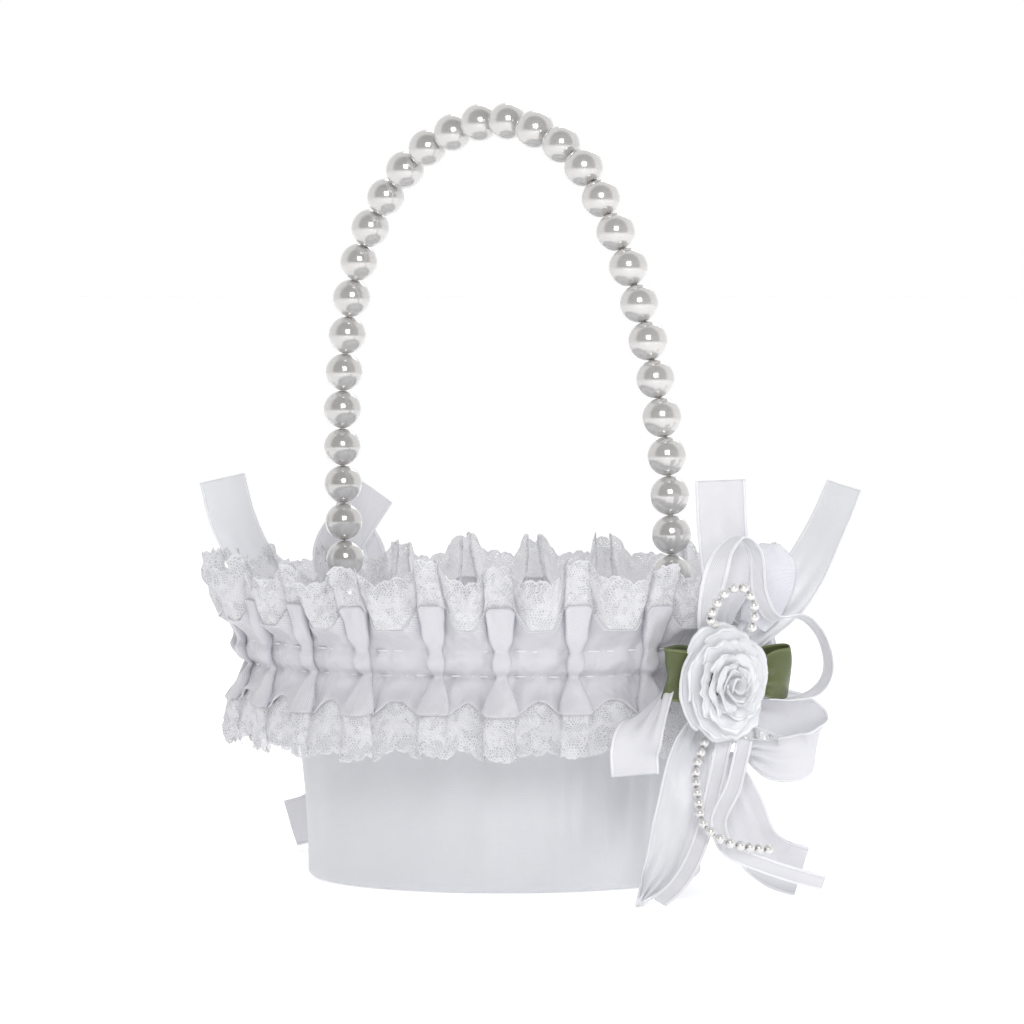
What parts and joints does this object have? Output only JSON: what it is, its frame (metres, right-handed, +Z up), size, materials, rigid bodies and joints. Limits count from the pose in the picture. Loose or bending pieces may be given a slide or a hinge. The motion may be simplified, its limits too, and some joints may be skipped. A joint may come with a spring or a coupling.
{
  "type": "flower girl basket",
  "caption": "Small round satin-covered basket with a pleated satin and lace trim, a pearl bead arch handle and a ribbon bow with a fabric rose at each handle foot.",
  "frame": {"origin": "middle of the tub's flat base, on the surface that the basket stands on", "axes": "+Z up along the tub's axis, X along the span of the handle with the fuller bow at +X, Y across the handle"},
  "size_m": [0.1536, 0.1211, 0.1562],
  "materials": {
    "tub_satin": "pale grey satin",
    "lining_satin": "pale grey satin",
    "board": "grey board",
    "foam": "white foam",
    "wire": "bright wire",
    "pearl": "pearl lacquer",
    "trim_satin": "ribbed satin ribbon",
    "lace": "net lace",
    "glue": "hot-melt glue",
    "ribbon_satin": "satin ribbon",
    "narrow_satin": "satin ribbon",
    "small_pearl": "pearl lacquer",
    "leaf_satin": "green satin ribbon",
    "rose_satin": "crushed satin",
    "organza": "sheer organza"
  },
  "bodies": {
    "root": {"outer_satin_cover": "tub_satin", "base_board": "board", "foam_wall": "foam", "satin_lining": "lining_satin", "handle_wire": "wire", "bead_01": "pearl", "bead_02": "pearl", "bead_03": "pearl", "bead_04": "pearl", "bead_05": "pearl", "bead_06": "pearl", "bead_07": "pearl", "bead_08": "pearl", "bead_09": "pearl", "bead_10": "pearl", "bead_11": "pearl", "bead_12": "pearl", "bead_13": "pearl", "bead_14": "pearl", "bead_15": "pearl", "bead_16": "pearl", "bead_17": "pearl", "bead_18": "pearl", "bead_19": "pearl", "bead_20": "pearl", "bead_21": "pearl", "bead_22": "pearl", "bead_23": "pearl", "bead_24": "pearl", "bead_25": "pearl", "bead_26": "pearl", "bead_27": "pearl", "bead_28": "pearl", "bead_29": "pearl", "bead_30": "pearl", "bead_31": "pearl", "bead_32": "pearl", "satin_ruffle": "trim_satin", "upper_lace": "lace", "lower_lace": "lace", "front_glue_pad": "glue", "front_upright_ribbon": "ribbon_satin", "front_leaning_ribbon": "ribbon_satin", "front_looped_ribbon": "ribbon_satin", "front_narrow_ribbon": "narrow_satin", "front_pearl_strand": "small_pearl", "front_leaf_ribbon": "leaf_satin", "front_rose": "rose_satin", "back_glue_pad": "glue", "back_upright_ribbon": "ribbon_satin", "back_leaning_ribbon": "ribbon_satin", "back_looped_ribbon": "ribbon_satin", "back_narrow_ribbon": "narrow_satin", "back_pearl_strand": "small_pearl", "back_leaf_ribbon": "leaf_satin", "back_rose": "rose_satin", "front_organza_petal": "organza", "front_narrow_tail": "narrow_satin", "front_crossing_tail": "narrow_satin", "front_strand_tail": "small_pearl"}
  },
  "joints": []
}
